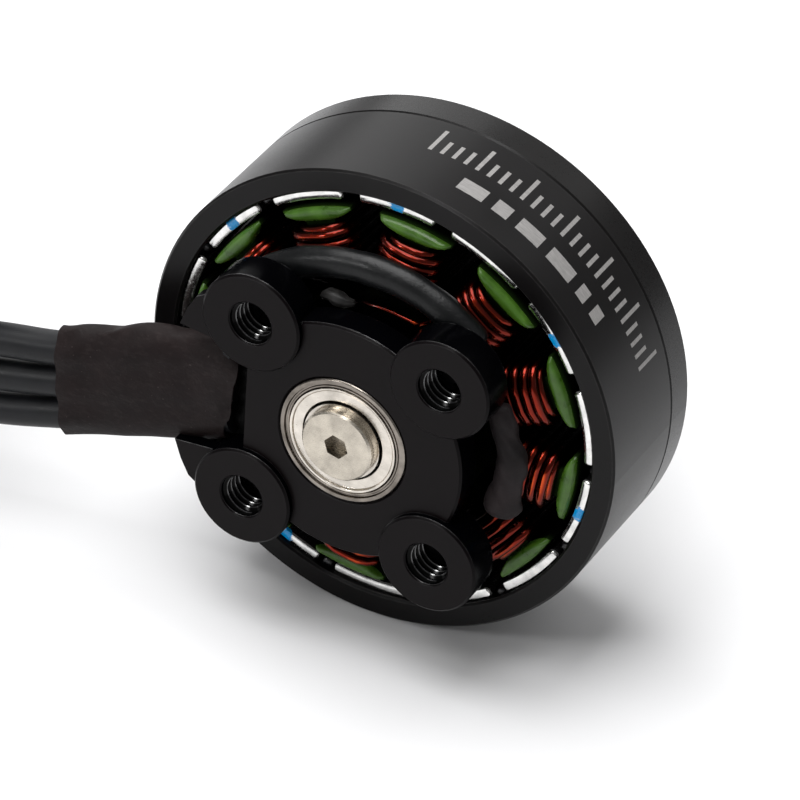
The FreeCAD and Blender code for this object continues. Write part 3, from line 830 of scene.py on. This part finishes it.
def winding(index):
    """One phase coil as a single wire: a layer wound outwards, and a second wound back over it.

    Its shade per vertex is painted light: 1 on crests facing away from the tooth, dark in grooves and on
    buried turns.
    """
    per_turn = 44
    path = []
    jitter = random.normal(0, 0.035, (2, TURNS + 1))
    for layer in (0, 1):
        loop = turn_shape(layer, per_turn)
        for i in range(TURNS - layer):
            for j in range(per_turn):
                t = i + j / per_turn
                k = t if layer == 0 else TURNS - 1 - t
                x = FIRST_TURN_R + WIRE_PITCH * (k + 0.5 * layer)
                x += np.interp(t % 1, [0, 1], jitter[layer][i:i + 2])
                wobble = 0.03 * math.sin(5 * t + index) * layer
                path.append([x, loop[j, 0] * (1 + wobble * 0.3), loop[j, 1]])
    sides = 10
    verts, faces = tube(np.array(path), WIRE_R, sides)
    centre = np.repeat(path[:1] + path[:1] + path + path[-1:] + path[-1:], sides, axis=0)
    # painted light and shade: bright on each wire's crest, dark towards the tooth, the buried inner turns
    # dimmer
    shade = 0.5 + 0.5 * (off_core(verts) - off_core(centre)) / WIRE_R
    buried = (off_core(centre) < WIRE_R + 0.25) & (verts[:, 0] < BURIED_R)
    shade = np.clip(shade, 0, 1) ** 4 * np.where(buried, 0.25, 1.0)
    return turned_by(verts, TOOTH_PHASE + index * 360 / TEETH), faces, shade


for tooth in range(TEETH):
    wire_verts, wire_faces, wire_shade = winding(tooth)
    number = "%02d" % (tooth + 1)
    piece("winding_" + number, wire_verts, wire_faces, COPPER, "stator", "copper_winding",
          ["coil_" + number], 80, wire_shade)


# -------------------------- stator coat
SHOE_R = 13.96
SHOE_HALF = 10.6                    # degrees


def shoe_caps():
    """Thick coat on both ends of every pole shoe: a lens, flat outside and bowed towards the winding."""
    parts = []
    across, deep = 25, 11
    u = np.linspace(-1, 1, across)
    ends = np.clip(1 - np.abs(u) ** 9, 0, 1) ** 0.5
    for i in range(TEETH):
        for sign, level in ((-1, CORE_Z[0]), (1, CORE_Z[1])):
            wobble = random.normal(0, 0.02, 3)
            rows = []
            for v in np.linspace(0, 1, deep):
                inner = SHOE_R - 0.24 - (0.8 + wobble[0]) * np.clip(1 - np.abs(u) ** 2.7, 0, 1)
                radius = inner + (SHOE_R - inner) * v
                swell = np.clip(1 - np.abs(2 * v - 1) ** 2.6, 0, 1) ** 0.5 * ends
                z = level + sign * ((0.5 + wobble[1]) * swell - 0.04)
                rows.append(polar(radius, u * SHOE_HALF, z))
            back = np.array(rows[::-1])
            back[:, :, 2] = level - sign * 0.08
            verts = np.vstack([np.vstack(rows), back.reshape(-1, 3)])
            faces = grid_faces(2 * deep, across, True, False)
            parts.append((turned_by(verts, TOOTH_PHASE + i * 360 / TEETH), faces))
    piece("shoe_coat_caps", *joined(parts), GREEN, "stator", "core_powder_coat", (), 50)


shoe_caps()
paint(CORE_SHADE_COAT, "stator_core")
soften(0.12, "stator_core")

# -------------------------- mounting base and threads
paint(BASE_FINISH, "mount_base")
soften(0.09, "mount_base")


def thread(tip, root, low, high, pitch, steps=48):
    """Helical ridge between two heights, from its root to its tip radius, with its ends run out."""
    turns = (high - low) / pitch
    t = np.linspace(0, 1, int(turns * steps))
    fade = np.clip(np.minimum(t, 1 - t) * turns * 3, 0, 1)
    crest = root + (tip - root) * fade
    a = t * turns * 360
    z = low + t * (high - low)
    half = pitch * 0.46
    flat = pitch * 0.07
    section = [(root, -half), (crest, -flat), (crest, flat), (root, half)]
    rows = [polar(np.broadcast_to(r, t.shape), a, z + h) for r, h in section]
    return np.stack(rows, 1).reshape(-1, 3), grid_faces(len(t), 4, False, False)


def turned_over(faces):
    return [f[::-1] for f in faces]


def tapped_threads():
    """M3 threads inside the four bosses."""
    verts, faces = thread(1.26, 1.53, 0.3, 2.4, 0.5)
    # 1 on the crest vertices, where the thread's highlight is painted
    shade = (np.hypot(verts[:, 0], verts[:, 1]) < 1.4).astype(float)
    parts = [(verts + polar(BOLT_CIRCLE_R, a), turned_over(faces)) for a in BOLT_ANGLES]
    piece("mount_hole_threads", *joined(parts), THREAD_FINISH, "stator", "base_anodised", (), 25,
          np.tile(shade, len(parts)))


tapped_threads()


def close_holes_with_shade():
    """Thin black discs on the winding side of the tapped holes: painted shade, so only black shows behind the
    threads.
    """
    outline = [(0.02, 2.5), (1.85, 2.5), (1.95, 2.53), (1.95, 2.6), (1.88, 2.64), (0.02, 2.66)]
    verts, faces = lathe(outline, 48)
    parts = [(verts + polar(BOLT_CIRCLE_R, a), faces) for a in BOLT_ANGLES]
    piece("hole_shade_discs", *joined(parts), VARNISH, "stator", "base_anodised", (), 30)


close_holes_with_shade()

# -------------------------- bearings, screw and shaft
BEARING_H = 4.0
BEARING_Z = {"lower_bearing": 0.45, "upper_bearing": 10.0}


def both_faces(z, outline):
    """Lathe pieces of one outline, given as (radius, depth below a bearing's face), at both faces."""
    parts = []
    for face, sign in ((z, 1), (z + BEARING_H, -1)):
        verts, faces = lathe([(r, face + sign * h) for r, h in outline], 128, True)
        parts.append((verts, faces if sign < 0 else turned_over(faces)))
    return joined(parts)


def bearing_skins(name, z):
    """Outer ring with a turned step round its bore, and coned shields with a rolled rim."""
    lip = [(2.86, 0.1), (3.55, 0.2), (3.62, 0.04), (3.78, 0.02), (3.8, 0.4), (3.6, 0.44), (2.86, 0.3)]
    verts, faces = both_faces(z, rounded(lip, 0.05, 3))
    piece(name + "_shield_pair", verts, faces, BEARING_STEEL, "stator", "bearing_steel",
          [name + "_shields"], 30)
    bore = [(3.9, 2.0), (3.9, 0.5), (3.83, 0.46), (3.83, 0.16)]
    step = [(3.88, 0.08), (3.98, 0.08), (4.0, 0.2), (4.12, 0.2)]
    rim = [(4.16, 0.0), (4.4, 0.0), (4.5, 0.1)]
    half = bore + step + rim
    outline = rounded(half + [(r, BEARING_H - h) for r, h in half[:0:-1]], 0.03, 2)
    verts, faces = lathe([(r, z + h) for r, h in outline], 160, True)
    piece(name + "_race_ring", verts, turned_over(faces), RACE_STEEL, "stator", "bearing_steel",
          [name + "_outer_ring"], 25)


for bearing_name, bearing_z in BEARING_Z.items():
    bearing_skins(bearing_name, bearing_z)
    paint(BEARING_STEEL, bearing_name + "_inner_ring", bearing_name + "_balls")
    paint(CAGE_STEEL, bearing_name + "_cage")
    soften(0.05, bearing_name + "_inner_ring")
paint(SCREW_STEEL, "shaft_screw", "shaft_washer", "bell_spacer")
soften(0.05, "shaft_screw")
soften(0.04, "shaft_washer", "bell_spacer")

SHAFT_R = 2.0
SHAFT_FOOT = 0.45
PRESS_R = 2.75
PRESS_Z = (14.4, 18.4)
SCREW_HOLE_R = 1.25
SCREW_HOLE_TOP = 5.45
PROP_R = 2.5
PROP_PITCH = 0.8
THREAD_FOOT = 18.8
SHAFT_TOP = 33.0


def shaft():
    """Ground journal with a screw hole below, and a propeller thread with a chamfered end above."""
    core = PROP_R - 0.47
    journal = [(SCREW_HOLE_R, SCREW_HOLE_TOP), (SCREW_HOLE_R, SHAFT_FOOT), (SHAFT_R - 0.1, SHAFT_FOOT),
               (SHAFT_R, SHAFT_FOOT + 0.1), (SHAFT_R, PRESS_Z[0])]
    press = [(PRESS_R, PRESS_Z[0]), (PRESS_R, PRESS_Z[1]), (PRESS_R - 0.3, THREAD_FOOT)]
    end = [(core, THREAD_FOOT + 0.3), (core, SHAFT_TOP - 0.5), (1.75, SHAFT_TOP), (0.02, SHAFT_TOP)]
    body = lathe(journal + press + end, 96)
    ridge = thread(PROP_R, core - 0.02, THREAD_FOOT + 0.35, SHAFT_TOP - 0.35, PROP_PITCH, 64)
    hole_end = lathe([(0.02, SCREW_HOLE_TOP), (SCREW_HOLE_R, SCREW_HOLE_TOP)], 96)
    parts = joined([body, ridge, hole_end])
    piece("motor_shaft", *parts, SHAFT_STEEL, "rotor", "shaft_steel", ["shaft"], 30)


shaft()

# -------------------------- rotor
paint(BELL_FINISH, "bell")
paint(RING_FINISH, "flux_ring")
soften(0.1, "bell", "flux_ring")

MAGNETS = 14
MAGNET_PHASE = -12.6
MAGNET_R = (14.35, 15.05)
MAGNET_HALF = 10.4                  # degrees


def magnet_plate(centre):
    """Plated arc magnet: rounded ends, and a worn slope along its inner edges."""
    inner, outer = MAGNET_R
    reach = math.radians(MAGNET_HALF) * inner
    plan = rounded(rectangle(-reach, reach, inner, outer), 0.33, 5)
    dense = []
    for a, b in zip(plan, np.roll(plan, -1, 0)):
        for t in np.linspace(0, 1, max(2, int(np.linalg.norm(b - a) / 0.25) + 1))[:-1]:
            dense.append(a + (b - a) * t)
    dense = np.array(dense)
    low, high = MAGNET_Z
    lower_end = [(low, 0.14), (low + 0.02, 0.09), (low + 0.07, 0.03), (low + 0.16, 0.0)]
    upper_end = [(high - 0.16, 0.0), (high, 0.12)]
    rows = []
    for z, inset in lower_end + upper_end:
        worn = 0.9 * max(0.0, inset - 0.02) * (dense[:, 1] < inner + 0.2)
        x = dense[:, 0] * (1 - inset / reach)
        r = np.clip(dense[:, 1], inner + inset + worn, outer - inset)
        rows.append(polar(r, centre + np.degrees(x / inner), z))
    faces = grid_faces(len(rows), len(dense)) + end_caps(len(rows), len(dense))
    return np.vstack(rows), turned_over(faces)


plain_nickel = nickel("nickel_plating")
for pole in range(MAGNETS):
    number = "%02d" % (pole + 1)
    middle = MAGNET_PHASE + pole * 360 / MAGNETS
    finish = plain_nickel
    if pole % 2 == 1:
        dab_at = polar(14.72 + random.normal(0, 0.05), middle + random.normal(0, 1.2), MAGNET_Z[0]) * MM
        finish = nickel("nickel_marked_" + number, tuple(dab_at))
    piece("magnet_plate_" + number, *magnet_plate(middle), finish, "rotor", "magnet_plating",
          ["magnet_" + number], 35)


def magnet_glue():
    """Beads of black epoxy in the gaps between magnets."""
    parts = []
    for i in range(MAGNETS):
        middle = MAGNET_PHASE + (i + 0.5) * 360 / MAGNETS
        z = np.linspace(6.3, 12.9, 14)
        path = polar(15.0 + random.normal(0, 0.03, 14), middle + random.normal(0, 0.2, 14), z)
        parts.append(tube(path, 0.36 + random.normal(0, 0.03, 14), 12))
    piece("magnet_gap_epoxy", *joined(parts), VARNISH, "rotor", "ring_black", (), 80)


magnet_glue()


MARK_R = 16.708                     # just proud of the ring
TICKS = 25
FIRST_TICK = -90.5                  # degrees, as are the next three
TICK_STEP = 2.9
TICK_WIDTH = 0.95
BARS = [(-79, -72.5), (-70, -66), (-63.5, -57), (-54.5, -47), (-44.5, -41.5), (-39, -36)]


def marks():
    """Generic graduation marks, lasered round the ring: a row of ticks over a row of short bars."""
    boxes = []
    for i in range(TICKS):
        start = FIRST_TICK + i * TICK_STEP
        boxes.append((start, start + TICK_WIDTH, 10.1, 12.6 if i % 4 == 0 else 11.6))
    boxes += [(start, end, 7.6, 8.9) for start, end in BARS]
    parts = []
    for start, end, low, high in boxes:
        a = np.linspace(start, end, max(3, int((end - start) / 0.6) + 1))
        section = [(MARK_R - 0.02, low), (MARK_R, low + 0.03), (MARK_R, high - 0.03), (MARK_R - 0.02, high)]
        rows = [polar(r, a, z) for r, z in section]
        parts.append((np.vstack(rows), grid_faces(4, len(a), False, False)))
    piece("ring_graduation_marks", *joined(parts), MARKING, "rotor", "ring_black", (), 30)


marks()


# -------------------------- wiring inside
INNER_LEAD_Z = 3.58
INNER_LEAD_R = 11.22                # of its long arc round the axis
INNER_LEAD_TURN_R = 5.0             # of the tighter arc behind the boss
INNER_LEAD_CORNER = -135            # degrees, where one arc passes into the other


def inner_lead():
    """Sleeved phase wire lying on the end turns, pulled round the corner behind a boss."""
    main = polar(INNER_LEAD_R, np.linspace(-50, INNER_LEAD_CORNER, 60), INNER_LEAD_Z)
    centre = polar(INNER_LEAD_R - INNER_LEAD_TURN_R, INNER_LEAD_CORNER, INNER_LEAD_Z)
    tail = centre + polar(INNER_LEAD_TURN_R, np.linspace(INNER_LEAD_CORNER - 1, -170, 14))
    path = np.vstack([main, tail])
    t = np.linspace(0, 1, len(path))
    path[:, 2] += 0.05 * np.sin(9 * t) - 0.02
    radius = 1.06 + 0.02 * np.sin(23 * t) + 0.015 * np.sin(51 * t + 1)
    verts, faces = tube(path, radius, 36, 0.86)
    piece("inner_lead_sleeving", verts, faces, INNER_SKIN, "stator", "inner_lead_sleeve",
          ["inner_phase_lead"], 60)


def joint_shrink():
    """Soft shrink sleeve over the star joint: crumpled, and fuller at one end."""
    corners = [(9.4, -4.2, 3.6), (9.7, -2.9, 3.55), (10.35, -1.5, 3.5), (10.65, -0.5, 3.5), (10.3, 0.8, 3.5),
               (10.1, 2.9, 3.45)]
    bend = line_of("joint_line", corners)
    step = np.concatenate([[0], np.cumsum(np.linalg.norm(np.diff(bend, axis=0), axis=1))])
    at = np.linspace(0, step[-1], 70)
    path = np.stack([np.interp(at, step, bend[:, k]) for k in range(3)], 1)
    t = np.linspace(-1, 1, 70)
    sides = 40
    verts, faces = tube(path, 0.98 + 0.2 * t + 0.05 * np.sin(7 * t + 1), sides, 0.82)
    verts = verts.reshape(-1, sides, 3)
    middle = verts.mean(axis=1, keepdims=True)
    row = np.linspace(0, 1, len(verts))[:, None]
    angle = np.linspace(0, 2 * math.pi, sides, endpoint=False)[None, :]
    crumple = 0.0
    for _ in range(14):
        size, along = random.uniform(0.006, 0.02), random.uniform(6, 40)
        lobes, phase = random.integers(1, 7), random.uniform(0, 6.3)
        crumple = crumple + size * np.sin(along * row + lobes * angle + phase)
    verts = middle + (verts - middle) * (1 + crumple)[:, :, None]
    piece("joint_shrink_sleeve", verts.reshape(-1, 3), faces, JOINT_SKIN, "stator", "joint_shrink",
          ["joint_sleeve"], 60)


def adhesive_blob():
    """Dab of grey adhesive between the base plate and the sleeved wire."""
    path = [(-3.2, -8.45, 3.1), (-2.7, -8.75, 3.05), (-2.1, -8.7, 2.95), (-1.6, -8.55, 3.0),
            (-1.1, -8.6, 3.1)]
    verts, faces = tube(path, [0.28, 0.44, 0.54, 0.42, 0.22], 24)
    verts = verts + np.outer(random.normal(0, 0.06, len(verts)), [0.5, 0.6, 1.0])
    piece("adhesive_dab", verts, faces, ADHESIVE, "stator", "inner_lead_sleeve", (), 80)


def jumper():
    """Bare end of a phase wire laid along the base plate."""
    corners = [(-1.4, -8.2, 4.0), (-0.7, -8.55, 3.6), (1.1, -8.7, 3.5), (2.6, -8.5, 3.5), (3.5, -8.3, 3.6),
               (3.7, -8.1, 5.2)]
    verts, faces = tube(line_of("jumper_line", corners), 0.16, 12)
    # painted light and shade: the wire is darker towards -X, and its painted highlight shows only towards +X
    shade = np.clip((verts[:, 0] + 0.6) / 4.2, 0.04, 1) ** 1.5
    piece("phase_jumper_wire", verts, faces, BARE_COPPER, "stator", "copper_winding", (), 80, shade)


inner_lead()
joint_shrink()
adhesive_blob()
jumper()


# -------------------------- studio
def panel(name, at, forward, size, material, seen_only=False):
    """Stage plane whose back is clear, so that it never hides the object."""
    mesh = bpy.data.meshes.new(name)
    half = size / 2
    mesh.from_pydata([(x, y, 0) for x, y in rectangle(-half, half, -half, half)], [], [(0, 1, 2, 3)])
    mesh.materials.append(material)
    obj = placed(name, mesh)
    obj.matrix_world = aimed(at, [-c for c in forward])
    if seen_only:
        obj.visible_diffuse = False
        obj.visible_glossy = False
        obj.visible_transmission = False
        obj.visible_shadow = False


def backdrop(name, tint):
    """Plain pale paper, clear from behind."""
    m = Nodes(name)
    m.set(Base_Color=m.tint(m.noise(6.0, 3.0), tint, [min(255, c + 2) for c in tint]))
    m.set(Roughness=0.9, Specular_IOR_Level=0.1)
    clear = m.add("ShaderNodeBsdfTransparent").outputs[0]
    back = m.add("ShaderNodeNewGeometry").outputs["Backfacing"]
    choice = m.add("ShaderNodeMixShader", {0: back, 1: m.shader.outputs[0], 2: clear}).outputs[0]
    m.tree.links.new(choice, m.output.inputs["Surface"])
    return m.material


def lamp(name, at, size, power, towards=(0, 0, 0)):
    """White softbox; size is its width and height."""
    light = bpy.data.lights.new(name, "AREA")
    light.shape = "RECTANGLE"
    light.size, light.size_y = size
    light.energy = power
    placed(name, light).matrix_world = aimed(at, Vector(towards) - Vector(at))


WHITE = backdrop("pale_backdrop", (220, 220, 221))
panel("resting_surface", (0, 0.01675, 0), (0, -1, 0), 3.0, WHITE)
panel("pale_floor", (0, 0, -0.0001), (0, 0, 1), 3.0, WHITE, seen_only=True)
lamp("key_softbox", (-0.15, -0.65, -0.02), (0.6, 0.6), 7.0)
lamp("glint_softbox", (-0.08, -0.72, -0.5), (0.18, 0.18), 1.1)
lamp("front_softbox", (-0.34, -0.27, -0.45), (0.09, 0.09), 0.8)
lamp("side_softbox", (0.6, -0.2, 0.1), (0.2, 0.4), 0.1, (0, 0, 0.005))
lamp("fill_softbox", (-0.46, -0.42, 0.52), (0.5, 0.5), 1.45)
lamp("top_softbox", (0.02, -0.2, 0.67), (0.5, 0.5), 1.4)
lamp("rear_floor_softbox", (-0.2, 0.9, 0.9), (0.6, 0.6), 11.0, (-0.1, 0.3, 0))

world = bpy.data.worlds.new("studio")
scene.world = world
world.use_nodes = True
background = world.node_tree.nodes["Background"]
background.inputs["Color"].default_value = (1, 1, 1, 1)
background.inputs["Strength"].default_value = 0.26
scene.view_settings.view_transform = "Standard"
